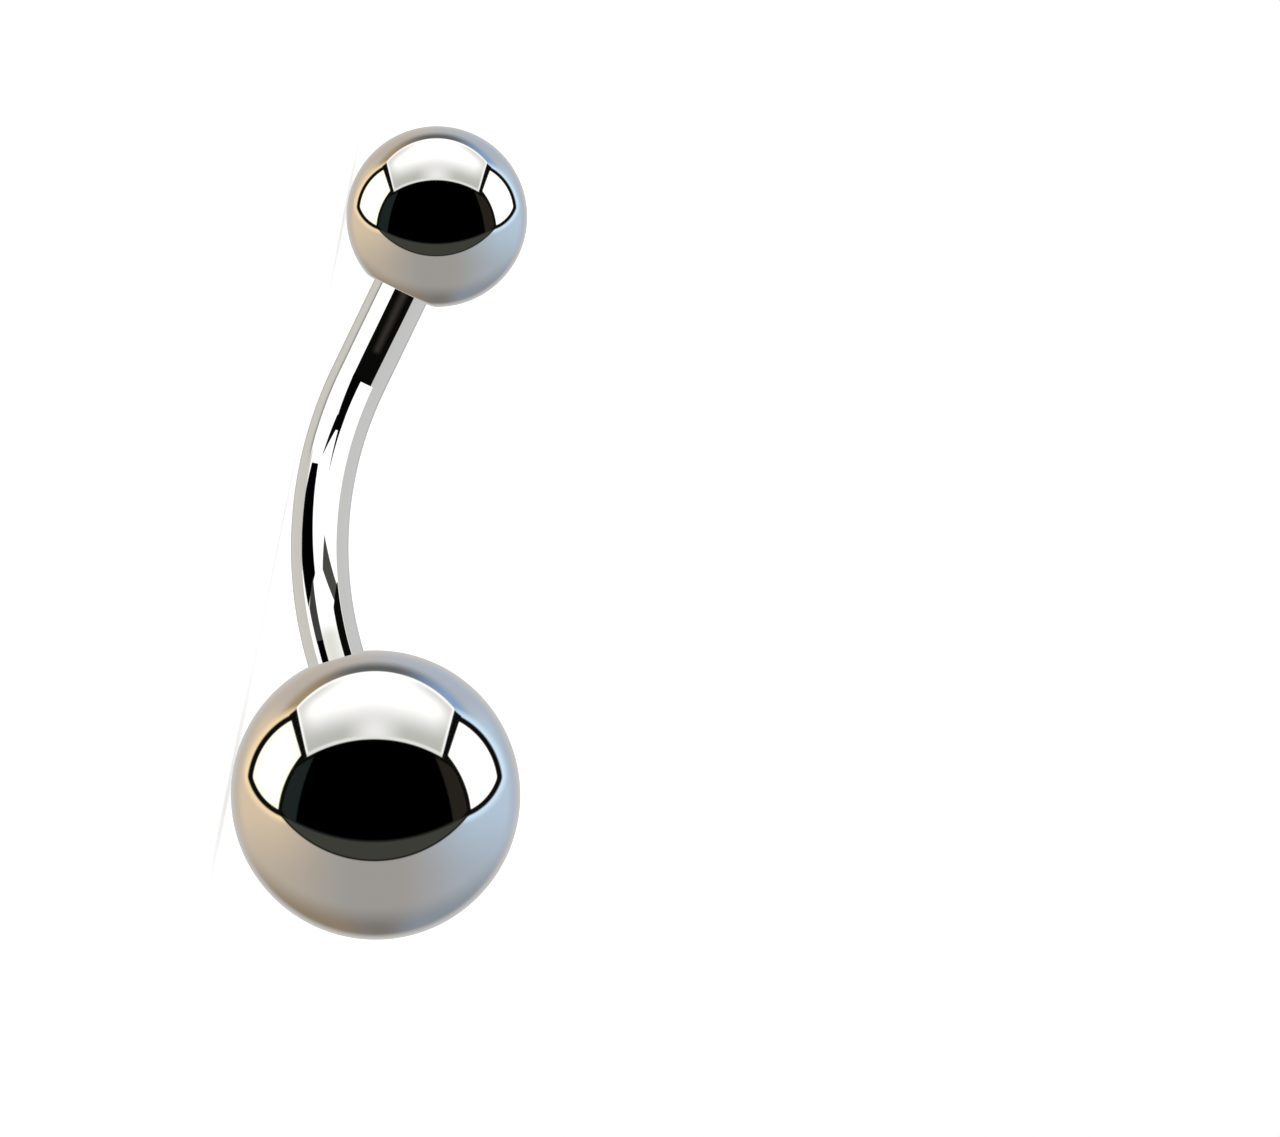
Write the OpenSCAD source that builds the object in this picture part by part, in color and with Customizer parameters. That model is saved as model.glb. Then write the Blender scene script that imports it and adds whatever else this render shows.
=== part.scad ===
// Curved barbell for a navel piercing: a bent steel bar with a fixed lower ball
// and a smaller upper ball that screws on. Millimetres, +Z up. It lies as it rolls
// to rest: on both balls, its bend hanging between them, the upper ball towards -X.

/* [Balls] */
// Diameter of the lower ball, which stays on the bar
bottom_ball_d = 8; // [6:0.5:10]
// Diameter of the upper ball, which screws off
top_ball_d = 5; // [4.5:0.5:7]

/* [Bar] */
// Thickness of the bar, 14 gauge
bar_d = 1.6; // [1.55:0.05:1.9]
// Radius of the bend along the middle of the bar
bend_r = 10.7; // [9:0.1:16]
// Angle that the bar turns through over its bend
bend_angle = 42; // [24:1:60]
// Straight length between the bend and the end face of the bar
straight_l = 3.1; // [2:0.1:5]
// Length of the plain post inside the lower ball
post_l = 2.8; // [1.5:0.1:2.9]
// Width of the bevel round the end face of the bar
end_bevel = 0.17; // [0.1:0.01:0.2]

/* [Stud] */
// Outer diameter of the thread
thread_d = 1.4; // [1.3:0.05:1.45]
// Distance from one turn of the thread to the next
thread_pitch = 0.3; // [0.25:0.01:0.35]
// Length of the stud from the end face of the bar to its tip
stud_l = 1.6; // [1.4:0.05:2]
// Length of the plain neck between the end face and the thread
neck_l = 0.08; // [0.05:0.01:0.2]
// Radius of the dome that rounds the tip
dome_r = 0.75; // [0.75:0.05:1]

/* [Threaded hole] */
// Diameter of the mouth where its flat lip meets the surface of the upper ball
mouth_d = 2.1; // [2.05:0.05:2.4]
// How far the bore inside the lip clears the side of the bar
bore_gap = 0.1; // [0.05:0.01:0.15]
// Room between the tip of the stud and the drilled end of the hole
hole_spare = 0.2; // [0.1:0.05:0.4]

/* [Fit] */
// Gap between the post and its hole in the lower ball
post_gap = 0.02; // [0.01:0.01:0.05]
// Gap between the crests of the stud and those of the ball's wider thread
thread_gap = 0.03; // [0.02:0.005:0.04]
// Gap between the bevel of the bar and the countersink that it seats in
seat_gap = 0.03; // [0.02:0.01:0.06]

/* [Hidden] */
$fn = 96;
// How far a cutter runs past the surface that it cuts, and the bend past its cut
PAST = 1;
SPARE_ANGLE = 5;

// A 60 degree thread: height 0.5413 of its pitch, crest an eighth of it
FLANK_SLOPE = tan(30);
HEIGHT_SHARE = 0.5413;
CREST_SHARE = 1 / 8;
// Steps of the thread round one turn, how many its ends fade over, and corners at each
TURN_STEPS = 24;
FADE_STEPS = 6;
CORNERS = 4;
// How far a plain core stays inside the root of its thread, as a share of the pitch
CORE_SHARE = 1 / 8;
// Slope of the bevel and the countersink, and the angle of the drill's point
BEVEL_SLOPE = 45;
DRILL_POINT = 118;
// Slope of the lip round the mouth, a little flatter than the surface of the ball there
LIP_SLOPE = 14;

bar_r = bar_d / 2;
bottom_ball_r = bottom_ball_d / 2;
top_ball_r = top_ball_d / 2;
mouth_r = mouth_d / 2;
bore_r = bar_r + bore_gap;
thread_r = thread_d / 2;
root_r = thread_r - HEIGHT_SHARE * thread_pitch;
core_step = CORE_SHARE * thread_pitch;
core_r = root_r - core_step;

// Heights along the stud's axis, from the end face of the bar
dome_z = stud_l - dome_r;
thread_end = dome_z + sqrt(pow(dome_r, 2) - pow(root_r, 2));
helix_z = neck_l + thread_pitch / 6;
stud_steps = floor((thread_end - helix_z - thread_pitch) / thread_pitch * TURN_STEPS);

// The countersink lies along the bevel, clear of it by the seat gap. The ball's thread
// starts below it and is wide enough for the stud to slide straight through
seat_r = bar_r - end_bevel + seat_gap / cos(BEVEL_SLOPE);
mouth_z = (seat_r - mouth_r) * tan(BEVEL_SLOPE);
top_ball_z = mouth_z + sqrt(pow(top_ball_r, 2) - pow(mouth_r, 2));
hole_r = thread_r + thread_gap;
pilot_r = hole_r - core_step;
pilot_end = stud_l + hole_spare;
bore_z = (seat_r - bore_r) * tan(BEVEL_SLOPE);
lip_z = mouth_z - (mouth_r - bore_r) * tan(LIP_SLOPE);
cone_end_r = pilot_r - core_step;
cone_end_z = (seat_r - cone_end_r) * tan(BEVEL_SLOPE);
hole_first = -floor(helix_z / thread_pitch * TURN_STEPS);
hole_last = floor((stud_l - helix_z - thread_pitch) / thread_pitch * TURN_STEPS);

// Places in the plane of the bend, from the middle of its circle: its upper end is
// at [bend_r, 0], where the bar leaves towards -Y, and its lower end at bend_angle
top_centre = [bend_r, -straight_l - top_ball_z];
bottom_centre = bend_r * [cos(bend_angle), sin(bend_angle)]
    + bottom_ball_r * [-sin(bend_angle), cos(bend_angle)];

// At rest both balls touch the ground, with the upper ball's middle the lower one, and
// the bend hangs clear of the ground, or touches it where the balls are too small for that
span = norm(top_centre - bottom_centre);
upward = atan2(top_centre.y - bottom_centre.y, top_centre.x - bottom_centre.x);
tilt = asin((bottom_ball_r - top_ball_r) / span);
turn = 180 - upward + tilt;
middle_x = (bottom_ball_r - top_ball_r - span * cos(tilt)) / 2;
bend_centre_z = -sin(turn) * bottom_centre.x - cos(turn) * bottom_centre.y;
bar_low_z = bottom_ball_r + bend_centre_z - bend_r - bar_r;

// Takes what is drawn in the bend's own frame to its resting place, upright along X
module at_rest() {
    translate([-middle_x, 0, bottom_ball_r - min(0, bar_low_z)])
        rotate([90, 0, 0])
            rotate([0, 0, turn])
                translate([-bottom_centre.x, -bottom_centre.y, 0])
                    children();
}

// Draws up +Z from the bend's upper end, along the straight end of the bar
module at_upper_end() {
    translate([bend_r, 0, 0])
        rotate([90, 0, 0])
            children();
}

// Draws up +Z from the bend's lower end, towards the middle of the lower ball
module at_lower_end() {
    rotate([0, 0, bend_angle])
        translate([bend_r, 0, 0])
            rotate([-90, 0, 0])
                children();
}

// Half of the thread's thickness at its crest and at its root, each side wider by a gap
function half_crest(gap) = thread_pitch * CREST_SHARE / 2 + gap * FLANK_SLOPE;
function half_root(gap) = half_crest(gap) + HEIGHT_SHARE * thread_pitch * FLANK_SLOPE;

// Radius of the tip's dome at a height, or no limit below the dome
function dome_limit(z) = z <= dome_z ? thread_r : sqrt(max(pow(dome_r, 2) - pow(z - dome_z, 2), 0));

// How much of its height the thread has at a step: none at its ends
function fade(step, first, last) = min(1, (step - first) / FADE_STEPS, (last - step) / FADE_STEPS);

// Heights of the thread's corners: 0 and 1 bound the root, 2 and 3 the crest, 4 is the next root
function corner_z(k, gap) =
    let (root = thread_pitch / 2 - half_root(gap), crest = half_crest(gap))
    [-root, root, thread_pitch / 2 - crest, thread_pitch / 2 + crest, thread_pitch - root][k];

// Place of corner k of the thread at a step of its helix
function corner(step, k, base_r, gap, domed, first, last) =
    let (
        z = helix_z + thread_pitch * step / TURN_STEPS + corner_z(k, gap),
        angle = 360 * step / TURN_STEPS,
        height = (domed ? min(thread_r, dome_limit(z)) : thread_r) - root_r,
        rise = k == 2 || k == 3 ? max(height, 0) * fade(step, first, last) : 0,
        r = base_r + rise
    )
    [r * cos(angle), r * sin(angle), z];

// A closed rod from low to high, whose thread stands on its radius, from the first step to the last
module threaded_rod(base_r, gap, low, high, first, last, domed) {
    n = TURN_STEPS;
    top = CORNERS - 1;
    ring = [for (k = [0 : n - 1]) base_r * [cos(360 * k / n), sin(360 * k / n)]];
    strip = [for (s = [first : last]) for (c = [0 : top]) corner(s, c, base_r, gap, domed, first, last)];
    rim = [for (s = [last - n + 1 : last]) corner(s, CORNERS, base_r, gap, domed, first, last)];
    floor_ring = [for (p = ring) [p.x, p.y, low]];
    roof_ring = [for (p = ring) [p.x, p.y, high]];

    rim_at = len(strip);
    floor_at = rim_at + len(rim);
    roof_at = floor_at + n;
    function turned(s) = (s % n + n) % n;
    function at_rim(s) = s + n <= last ? CORNERS * (s + n - first) : rim_at + s - (last - n + 1);
    function at(s, c) = c < CORNERS ? CORNERS * (s - first) + c : at_rim(s);
    function at_floor(s) = floor_at + turned(s);
    function at_roof(s) = roof_at + turned(s);
    function fan(tip, path) = [for (k = [0 : len(path) - 2]) [tip, path[k], path[k + 1]]];

    wall = [for (s = [first : last - 1]) for (c = [0 : top]) each
        fan(at(s, c), [at(s, c + 1), at(s + 1, c + 1), at(s + 1, c)])];
    skirt = [for (s = [first : first + n - 2]) each
        fan(at_floor(s), [at(s, 0), at(s + 1, 0), at_floor(s + 1)])];
    start_edge = [for (c = [CORNERS : -1 : 0]) at(first, c)];
    skirt_end = fan(at_floor(first - 1), concat([at(first + n - 1, 0)], start_edge, [at_floor(first)]));
    collar = [for (s = [last - n + 1 : last - 1]) each
        fan(at(s, CORNERS), [at_roof(s), at_roof(s + 1), at(s + 1, CORNERS)])];
    end_edge = [for (c = [0 : CORNERS]) at(last, c)];
    collar_end = fan(at_roof(last + 1), concat([at(last - n + 1, CORNERS)], end_edge, [at_roof(last)]));
    base = [for (k = [0 : n - 1]) floor_at + k];
    lid = [for (k = [0 : n - 1]) roof_at + n - 1 - k];
    polyhedron(
        points = concat(strip, rim, floor_ring, roof_ring),
        faces = concat(wall, skirt, skirt_end, collar, collar_end, [base, lid]),
        convexity = 10
    );
}

// A thin core across each end of the bend makes one piece of the lengths that meet there
module spine() {
    cylinder(r = bar_r / 2, h = bar_r, center = true);
}

// The bend, cut square at both ends
module bend() {
    difference() {
        rotate_extrude(angle = bend_angle + SPARE_ANGLE)
            translate([bend_r, 0])
                circle(r = bar_r);
        at_lower_end()
            cylinder(r = 2 * bar_r, h = bend_r);
    }
    at_lower_end()
        spine();
    at_upper_end()
        spine();
}

// The straight end of the bar up to its bevelled face, which carries the stud
module straight_end() {
    rotate_extrude()
        polygon([
            [0, 0], [bar_r, 0], [bar_r, straight_l - end_bevel],
            [bar_r - end_bevel, straight_l], [0, straight_l]
        ]);
}

// The stud from the end face up: its plain neck, its thread and its domed tip
module stud() {
    translate([0, 0, -neck_l])
        cylinder(r = core_r, h = 3 * neck_l);
    threaded_rod(root_r, 0, neck_l, thread_end, 0, stud_steps, true);
    translate([0, 0, dome_z])
        intersection() {
            sphere(r = dome_r);
            translate([0, 0, thread_end - dome_z - thread_pitch])
                cylinder(r = core_r, h = dome_r);
        }
}

module bar() {
    color("silver")
        at_rest()
            union() {
                bend();
                at_lower_end()
                    cylinder(r = bar_r, h = post_l);
                at_upper_end() {
                    straight_end();
                    translate([0, 0, straight_l])
                        stud();
                }
            }
}

module bottom_ball() {
    color("silver")
        at_rest()
            difference() {
                translate([bottom_centre.x, bottom_centre.y, 0])
                    sphere(r = bottom_ball_r);
                at_lower_end()
                    translate([0, 0, -PAST])
                        cylinder(r = bar_r + post_gap, h = PAST + post_l + post_gap);
            }
}

// The flat lip, the bore that clears the bar, the countersink that the bar's bevel seats in,
// the drilled hole with its pointed end, and the thread in it
module threaded_hole() {
    rotate_extrude()
        polygon([
            [0, mouth_z - PAST], [mouth_r + PAST, mouth_z - PAST],
            [mouth_r + PAST, mouth_z + PAST * tan(LIP_SLOPE)], [bore_r, lip_z],
            [bore_r, bore_z], [cone_end_r, cone_end_z], [0, cone_end_z]
        ]);
    cylinder(r = pilot_r, h = pilot_end);
    translate([0, 0, pilot_end])
        cylinder(r1 = pilot_r, r2 = 0, h = pilot_r / tan(DRILL_POINT / 2));
    threaded_rod(hole_r, thread_gap, mouth_z, stud_l, hole_first, hole_last, false);
}

module top_ball() {
    color("silver")
        at_rest()
            at_upper_end()
                translate([0, 0, straight_l])
                    difference() {
                        translate([0, 0, top_ball_z])
                            sphere(r = top_ball_r);
                        threaded_hole();
                    }
}

bar();
bottom_ball();
top_ball();
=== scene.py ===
"""The looks of a curved barbell for a navel piercing: mirror-polished steel in a small studio.

Lengths are in millimetres, and a finished piece is scaled to metres as it takes its place in
the frame. The ring lies as it rolls to rest, on both balls with its bend hanging between
them, and the camera is turned to the angle that shows its bend from the side.
"""
import logging
import math
from collections.abc import Callable, Sequence
from dataclasses import dataclass, field
from enum import Enum
from typing import Any

import bmesh
import bpy
from mathutils import Matrix, Vector


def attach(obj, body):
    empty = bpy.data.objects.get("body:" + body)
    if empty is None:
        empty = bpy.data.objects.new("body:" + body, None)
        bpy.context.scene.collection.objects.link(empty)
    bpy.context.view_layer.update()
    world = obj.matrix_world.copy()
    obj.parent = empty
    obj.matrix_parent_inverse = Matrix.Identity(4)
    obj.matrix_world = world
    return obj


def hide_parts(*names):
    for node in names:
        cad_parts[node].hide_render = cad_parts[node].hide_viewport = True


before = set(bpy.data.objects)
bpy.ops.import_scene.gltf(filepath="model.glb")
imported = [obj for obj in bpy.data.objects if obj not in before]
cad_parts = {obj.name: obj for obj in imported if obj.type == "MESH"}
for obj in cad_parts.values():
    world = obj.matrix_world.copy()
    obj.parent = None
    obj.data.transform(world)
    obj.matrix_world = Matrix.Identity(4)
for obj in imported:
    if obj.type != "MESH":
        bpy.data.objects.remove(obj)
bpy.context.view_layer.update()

LOG = logging.getLogger("navel_ring")

MM = 0.001
TURN = 2 * math.pi
# Points nearer than this are one point
MERGE_MM = 1e-5
# Two lengths of the bar whose ends lie nearer than this, in metres, are joined
JOIN_M = 1e-7
# Steps of the rounding on a softened edge
EDGE_STEPS = 3
# Name of the measure, on a cut surface, of how open it lies: 0 deep in a groove, 1 outside; shade is
# painted darker where it is low
OPENNESS = "openness"
# The node that does a sum
MATHS = "ShaderNodeMath"
Point = tuple[float, float]
Socket = bpy.types.NodeSocket
Tree = bpy.types.NodeTree


class Body(Enum):
    """The moving bodies that the pieces ride on."""

    RING = "ring"
    UPPER_BALL = "upper_ball"


class Slot(Enum):
    """The record's material slots."""

    BAR = "polished_bar"
    BALL = "polished_ball"


class Zone(Enum):
    """Where a face of a piece lies, which settles its finish. The value is its material index."""

    POLISHED = 0
    TURNED = 1


@dataclass(frozen=True)
class RingSizes:
    """The ring's own sizes, the same as those of its solids, in mm and degrees."""

    bottom_ball_d: float = 8.0
    top_ball_d: float = 5.0
    bar_d: float = 1.6
    bend_r: float = 10.7
    bend_angle: float = 42.0
    straight_l: float = 3.1
    post_l: float = 2.8
    end_bevel: float = 0.17
    stud_l: float = 1.6
    neck_l: float = 0.08
    dome_r: float = 0.75
    mouth_d: float = 2.1
    bore_gap: float = 0.1
    hole_spare: float = 0.2
    post_gap: float = 0.02
    thread_gap: float = 0.03
    seat_gap: float = 0.03
    drill_point: float = 118.0
    lip_slope: float = 14.0

    @property
    def bar_r(self) -> float:
        """Radius of the bar."""
        return self.bar_d / 2

    @property
    def bottom_ball_r(self) -> float:
        """Radius of the lower ball."""
        return self.bottom_ball_d / 2

    @property
    def top_ball_r(self) -> float:
        """Radius of the upper ball."""
        return self.top_ball_d / 2

    @property
    def seat_r(self) -> float:
        """Radius of the countersink in the plane of the bar's end face."""
        return self.bar_r - self.end_bevel + self.seat_gap * math.sqrt(2)

    @property
    def mouth_r(self) -> float:
        """Radius at which the flat lip meets the surface of the upper ball."""
        return self.mouth_d / 2

    @property
    def mouth_z(self) -> float:
        """Height of that place from the bar's end face."""
        return self.seat_r - self.mouth_r

    @property
    def bore_r(self) -> float:
        """Radius of the bore inside the lip, which clears the bar."""
        return self.bar_r + self.bore_gap

    @property
    def lip_z(self) -> float:
        """Height of the lip's inner edge from the bar's end face."""
        return self.mouth_z - (self.mouth_r - self.bore_r) * math.tan(math.radians(self.lip_slope))

    @property
    def top_ball_z(self) -> float:
        """Height of the upper ball's middle from the bar's end face."""
        return self.mouth_z + math.sqrt(self.top_ball_r**2 - self.mouth_r**2)


@dataclass(frozen=True)
class ThreadForm:
    """A 60 degree thread of one start, right handed, in mm."""

    outer_d: float = 1.4
    pitch: float = 0.3
    height_share: float = 0.5413
    crest_share: float = 1 / 8
    flank_angle: float = 30.0
    fade_turns: float = 0.25

    @property
    def height(self) -> float:
        """Height of the thread from root to crest."""
        return self.height_share * self.pitch

    @property
    def root_r(self) -> float:
        """Radius of the root."""
        return self.outer_d / 2 - self.height

    @property
    def lead_in(self) -> float:
        """Height above the stud's neck at which the helix starts."""
        return self.pitch / 6

    def rise(self, angle: float, z: float, gap: float, first: float, last: float) -> float:
        """How far the thread stands out of its root.

        Args:
            angle: Place round the axis, in radians.
            z: Height above the place where the helix starts.
            gap: Extra width of the thread's form, as a gap on each flank.
            first: Turn of the helix at which the thread starts.
            last: Turn of the helix at which it ends.

        Returns:
            The height above the root, in mm.
        """
        round_share = (angle % TURN) / TURN
        along = z / self.pitch - 0.5 - round_share
        nearest = round(along)
        slope = math.tan(math.radians(self.flank_angle))
        half_crest = self.pitch * self.crest_share / 2 + gap * slope
        off_crest = abs(along - nearest) * self.pitch
        full = (half_crest - off_crest) / slope + self.height
        turns = round_share + nearest
        fade = min(1.0, (turns - first) / self.fade_turns, (last - turns) / self.fade_turns)
        return min(max(full, 0.0), self.height) * max(fade, 0.0)


@dataclass(frozen=True)
class RestPlace:
    """Where the ring's own axes lie in the frame, as it rests on both balls."""

    sizes: RingSizes

    @property
    def bottom_centre(self) -> Vector:
        """Middle of the lower ball in the plane of the bend.

        Returns:
            Its place from the middle of the bend's circle, in mm.
        """
        bend = math.radians(self.sizes.bend_angle)
        along = Vector((math.cos(bend), math.sin(bend), 0))
        onward = Vector((-math.sin(bend), math.cos(bend), 0))
        return along * self.sizes.bend_r + onward * self.sizes.bottom_ball_r

    @property
    def top_centre(self) -> Vector:
        """Middle of the upper ball, from the middle of the bend's circle, in mm."""
        return Vector((self.sizes.bend_r, -self.sizes.straight_l - self.sizes.top_ball_z, 0))

    def bend(self) -> Matrix:
        """Takes the bend's plane, in mm, to the frame, in metres.

        Returns:
            The matrix that scales, tilts and places what is drawn in that plane.
        """
        s = self.sizes
        across = self.top_centre - self.bottom_centre
        drop = s.bottom_ball_r - s.top_ball_r
        tilt = math.asin(drop / across.length)
        middle_x = (drop - across.length * math.cos(tilt)) / 2
        turn = math.pi - math.atan2(across.y, across.x) + tilt
        return (
            Matrix.Scale(MM, 4)
            @ Matrix.Translation((-middle_x, 0, s.bottom_ball_r))
            @ Matrix.Rotation(math.pi / 2, 4, "X")
            @ Matrix.Rotation(turn, 4, "Z")
            @ Matrix.Translation(-self.bottom_centre)
        )

    def upper_end(self) -> Matrix:
        """Takes +Z to the way up the bar from the bend's upper end."""
        shift = Matrix.Translation((self.sizes.bend_r, 0, 0))
        return self.bend() @ shift @ Matrix.Rotation(math.pi / 2, 4, "X")

    def end_face(self) -> Matrix:
        """Takes +Z to the way up the stud from the bar's end face."""
        return self.upper_end() @ Matrix.Translation((0, 0, self.sizes.straight_l))

    def lower_end(self) -> Matrix:
        """Takes +Z to the way into the lower ball from the bend's lower end.

        Returns:
            The matrix from mm on that axis to the frame.
        """
        return (
            self.bend()
            @ Matrix.Rotation(math.radians(self.sizes.bend_angle), 4, "Z")
            @ Matrix.Translation((self.sizes.bend_r, 0, 0))
            @ Matrix.Rotation(-math.pi / 2, 4, "X")
        )


def linear(hex_colour: str) -> tuple[float, float, float]:
    """Turns an sRGB colour to linear light.

    Args:
        hex_colour: Six hex digits.

    Returns:
        Red, green and blue in linear light.
    """
    shares = [int(hex_colour[k : k + 2], 16) / 255 for k in (0, 2, 4)]
    r, g, b = (c / 12.92 if c <= 0.04045 else ((c + 0.055) / 1.055) ** 2.4 for c in shares)
    return r, g, b


def add_node(
    tree: Tree, kind: str, inputs: dict[Any, Any], **settings: Any
) -> bpy.types.Node:
    """Adds a node with its settings, and links or sets its inputs.

    Args:
        tree: The tree that it goes in.
        kind: The node's type name.
        inputs: A socket or a value for each input, by the input's name or number.
        **settings: Values of the node's own properties.

    Returns:
        The new node.
    """
    made = tree.nodes.new(kind)
    for name, value in settings.items():
        setattr(made, name, value)
    for name, value in inputs.items():
        if isinstance(value, Socket):
            tree.links.new(value, made.inputs[name])
        else:
            made.inputs[name].default_value = value
    return made


@dataclass(frozen=True)
class SteelFinish:
    """Surgical steel, with the marks that its last tool leaves.

    The spacings are real sizes in mm, and the depths those of the marks.
    """

    name: str
    colour: str
    roughness: float
    haze: float
    haze_mm: float
    mark_mm: float
    mark_depth_mm: float
    wave_mm: float
    wave_depth_mm: float
    # Colour painted as shade into grooves and deep hollows, where the openness measure is low
    groove_shade_colour: str = ""

    def material(self) -> bpy.types.Material:
        """Makes the finish as a material.

        Returns:
            A metal whose roughness and surface follow the finish's marks.
        """
        made = bpy.data.materials.new(self.name)
        made.use_nodes = True
        tree = made.node_tree
        tree.nodes.clear()
        place = add_node(tree, "ShaderNodeTexCoord", {}).outputs["Object"]
        patterns = ((self.haze_mm, 3.0), (self.mark_mm, 2.0), (self.wave_mm, 1.0))
        haze, marks, waves = (
            add_node(
                tree,
                "ShaderNodeTexNoise",
                {"Vector": place, "Scale": 1 / (spacing * MM), "Detail": detail},
            ).outputs["Fac"]
            for spacing, detail in patterns
        )
        rough = add_node(
            tree,
            "ShaderNodeMapRange",
            {"Value": haze, "To Min": self.roughness, "To Max": self.roughness + self.haze},
        )
        waved = add_node(
            tree, "ShaderNodeBump", {"Height": waves, "Distance": self.wave_depth_mm * MM}
        ).outputs["Normal"]
        marked = add_node(
            tree,
            "ShaderNodeBump",
            {"Height": marks, "Distance": self.mark_depth_mm * MM, "Normal": waved},
        )
        steel = add_node(
            tree,
            "ShaderNodeBsdfPrincipled",
            {
                "Base Color": self.base_colour(tree),
                "Metallic": 1.0,
                "Roughness": rough.outputs["Result"],
                "Normal": marked.outputs["Normal"],
            },
        )
        add_node(tree, "ShaderNodeOutputMaterial", {"Surface": steel.outputs["BSDF"]})
        return made

    def base_colour(self, tree: Tree) -> Any:
        """The steel's colour, with shade painted darker into its grooves and hollows.

        Args:
            tree: The material's tree.

        Returns:
            The plain colour, or a socket that paints shade where it has grooves.
        """
        plain = (*linear(self.colour), 1.0)
        if not self.groove_shade_colour:
            return plain
        # Painted shade: this dark colour is mixed in where the surface lies deep
        deep = (*linear(self.groove_shade_colour), 1.0)
        openness = add_node(tree, "ShaderNodeAttribute", {}, attribute_name=OPENNESS).outputs["Fac"]
        mixed = add_node(tree, "ShaderNodeMix", {0: openness, 6: deep, 7: plain}, data_type="RGBA")
        return mixed.outputs[2]


# A buffed ball is a clean mirror: all that shows of the wheel is a faint uneven haze.
BUFFED_BALL = SteelFinish(
    name="buffed_surgical_steel",
    colour="E4E3E1",
    roughness=0.015,
    haze=0.03,
    haze_mm=0.8,
    mark_mm=0.05,
    mark_depth_mm=0.00002,
    wave_mm=2.5,
    wave_depth_mm=0.0006,
)
# A drawn bar that was bent and tumbled keeps a slight waviness, so its long reflections waver.
TUMBLED_BAR = SteelFinish(
    name="tumbled_drawn_steel",
    colour="E2E2E0",
    roughness=0.03,
    haze=0.05,
    haze_mm=0.5,
    mark_mm=0.04,
    mark_depth_mm=0.00005,
    wave_mm=0.9,
    wave_depth_mm=0.006,
)
# A cut thread and a drilled hole are satin: the tool leaves fine rings that blur what they mirror.
TURNED_STEEL = SteelFinish(
    name="turned_surgical_steel",
    colour="D6D5D2",
    roughness=0.16,
    haze=0.12,
    haze_mm=0.15,
    mark_mm=0.03,
    mark_depth_mm=0.0012,
    wave_mm=0.3,
    wave_depth_mm=0.004,
    # Painted shade: the thread's grooves and the deep hole are coloured this dark
    groove_shade_colour="2B2A28",
)


def arc(centre: Point, radius: float, start: float, end: float, step: float) -> list[Point]:
    """Points along an arc of an outline.

    Args:
        centre: The arc's middle, as distance from the axis and height.
        radius: Its radius.
        start: Angle of its first point in degrees, where 0 points away from the axis.
        end: Angle of its last point.
        step: Largest angle between two points.

    Returns:
        The points, both ends included.
    """
    count = max(1, math.ceil(abs(end - start) / step))
    angles = [math.radians(start + (end - start) * k / count) for k in range(count + 1)]
    return [(centre[0] + radius * math.cos(a), centre[1] + radius * math.sin(a)) for a in angles]


def rows(radius: float, low: float, high: float, spacing: float) -> list[Point]:
    """Points up a straight wall, close enough together to carry a thread.

    Args:
        radius: The wall's distance from the axis.
        low: Height of its first point.
        high: Height of its last point.
        spacing: Largest distance between two points.

    Returns:
        The points, both ends included.
    """
    count = max(1, math.ceil(abs(high - low) / spacing))
    return [(radius, low + (high - low) * k / count) for k in range(count + 1)]


def lathe(outline: Sequence[Point], segments: int) -> bmesh.types.BMesh:
    """Turns an outline round the Z axis.

    Args:
        outline: Points as distance from the axis and height.
        segments: Number of steps round the axis.

    Returns:
        The turned shape, with its doubles merged.
    """
    bm = bmesh.new()
    verts = [bm.verts.new((r, 0.0, z)) for r, z in outline]
    edges = [bm.edges.new(pair) for pair in zip(verts, verts[1:])]
    bmesh.ops.spin(
        bm,
        geom=verts + edges,
        cent=(0, 0, 0),
        axis=(0, 0, 1),
        dvec=(0, 0, 0),
        angle=TURN,
        steps=segments,
        use_merge=True,
        use_duplicate=False,
    )
    bmesh.ops.remove_doubles(bm, verts=bm.verts, dist=MERGE_MM)
    return bm


@dataclass
class Piece:
    """A finished piece of the ring."""

    name: str
    body: Body
    slot: Slot
    stands_for: str
    finishes: dict[Zone, SteelFinish]

    def finish(self, bm: bmesh.types.BMesh, sharp: float = 40.0) -> bpy.types.Object:
        """Turns a shape, already in the frame, into the finished object.

        Args:
            bm: The shape, in metres. It is freed.
            sharp: Least angle in degrees at which an edge shades as an edge.

        Returns:
            The object, dressed and riding on its body.
        """
        bmesh.ops.recalc_face_normals(bm, faces=bm.faces)
        for face in bm.faces:
            face.smooth = True
        mesh = bpy.data.meshes.new(self.name)
        bm.to_mesh(mesh)
        bm.free()
        mesh.set_sharp_from_angle(angle=math.radians(sharp))
        for zone in sorted(self.finishes, key=lambda z: z.value):
            mesh.materials.append(material_of(self.finishes[zone]))
        made = bpy.data.objects.new(self.name, mesh)
        bpy.context.scene.collection.objects.link(made)
        # In the photo no piece shows in the polish of another: each mirrors the studio alone
        made.visible_glossy = False
        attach(made, self.body.value)
        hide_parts(self.stands_for)
        LOG.info("%s: %d faces, stands for %s", self.name, len(mesh.polygons), self.stands_for)
        return made


def material_of(finish: SteelFinish) -> bpy.types.Material:
    """The finish's material, made the first time that it is asked for."""
    return bpy.data.materials.get(finish.name) or finish.material()


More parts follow.
